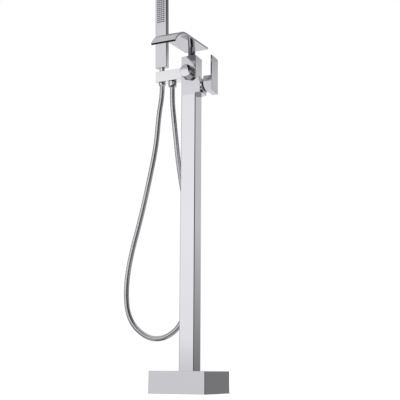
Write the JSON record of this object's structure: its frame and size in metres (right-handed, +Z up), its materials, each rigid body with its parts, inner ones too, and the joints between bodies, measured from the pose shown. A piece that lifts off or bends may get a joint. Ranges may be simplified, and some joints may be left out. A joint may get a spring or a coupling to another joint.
{
  "type": "floor standing bath filler",
  "caption": "Floor standing bath filler: square column on a square base, flat curved swivel spout, side lever, diverter knob, and a slim hand shower on a hanging hose.",
  "frame": {"origin": "on the floor, at the column's axis, in the plane of the base's underside", "axes": "+Z up along the column, -Y towards the bath that the spout points at, +X to the lever's side"},
  "size_m": [0.2649, 0.2383, 1.0381],
  "materials": {
    "chrome": "polished",
    "hose": "polished spiral",
    "steel": "satin",
    "brass": "machined",
    "rubber": "matte",
    "nozzle_rubber": "matte",
    "plastic": "moulded"
  },
  "bodies": {
    "root": {"floor_gasket": "rubber", "floor_plate": "steel", "column_collar": "steel", "collar_screws": "steel", "column_tube": "chrome", "inlet_elbow_hot": "brass", "inlet_elbow_cold": "brass", "supply_pipe_hot": "steel", "supply_pipe_cold": "steel", "pipe_nuts": "brass", "pipe_orings": "rubber", "valve_body": "chrome", "body_screws": "steel", "cartridge_body": "plastic", "cartridge_gasket": "rubber", "cartridge_nut": "brass", "cartridge_dome": "chrome", "diverter_sleeve": "brass", "shower_arm": "chrome", "arm_nipple": "brass", "hose_outlet": "brass", "check_valve": "plastic", "outlet_washer": "rubber", "hose_nut_lower": "chrome", "shower_hose": "hose", "neck_retainer_screw": "steel"},
    "cover": {"base_cover": "chrome", "cover_seal": "rubber"},
    "rotor": {"cartridge_rotor": "plastic", "lever_pivot_pin": "steel"},
    "lever": {"lever_handle": "chrome", "cartridge_stem": "steel", "lever_screw": "steel", "lever_plug": "plastic"},
    "diverter": {"diverter_stem": "brass", "diverter_knob": "chrome", "knob_screw": "steel"},
    "spout": {"neck_tube": "chrome", "neck_orings": "rubber", "spout_tray": "chrome", "spout_lid": "chrome", "spout_flow_guide": "steel"},
    "hose_end": {"hose_nut_upper": "chrome", "handset_washer": "rubber"},
    "handset": {"handset_inlet": "chrome", "handset_shell": "chrome", "handset_face": "chrome", "nozzle_membrane": "nozzle_rubber", "handset_water_tube": "plastic"}
  },
  "joints": [
    {"name": "cover_slide", "type": "slide", "parent": "root", "child": "cover", "axis": [0, 0, 1], "range_m": [0, 0.06]},
    {"name": "lever_turn", "type": "hinge", "parent": "root", "child": "rotor", "pos_m": [0, 0, 0.7665], "axis": [1, 0, 0], "range_deg": [-45, 45]},
    {"name": "lever_tilt", "type": "hinge", "parent": "rotor", "child": "lever", "pos_m": [0.022, 0, 0.7665], "axis": [0, 1, 0], "range_deg": [0, 20]},
    {"name": "diverter_turn", "type": "hinge", "parent": "root", "child": "diverter", "pos_m": [0, 0, 0.8015], "axis": [0, 1, 0], "range_deg": [0, 90]},
    {"name": "spout_swivel", "type": "hinge", "parent": "root", "child": "spout", "pos_m": [0, 0, 0.84], "axis": [0, 0, 1], "range_deg": [-45, 90]},
    {"name": "handset_lift", "type": "slide", "parent": "root", "child": "hose_end", "axis": [0, -0.0332, 0.9995], "range_m": [0, 0.06]},
    {"name": "handset_turn", "type": "hinge", "parent": "hose_end", "child": "handset", "pos_m": [-0.0854, 0, 0.806], "axis": [0, -0.0332, 0.9995], "range_deg": [-90, 90]}
  ]
}
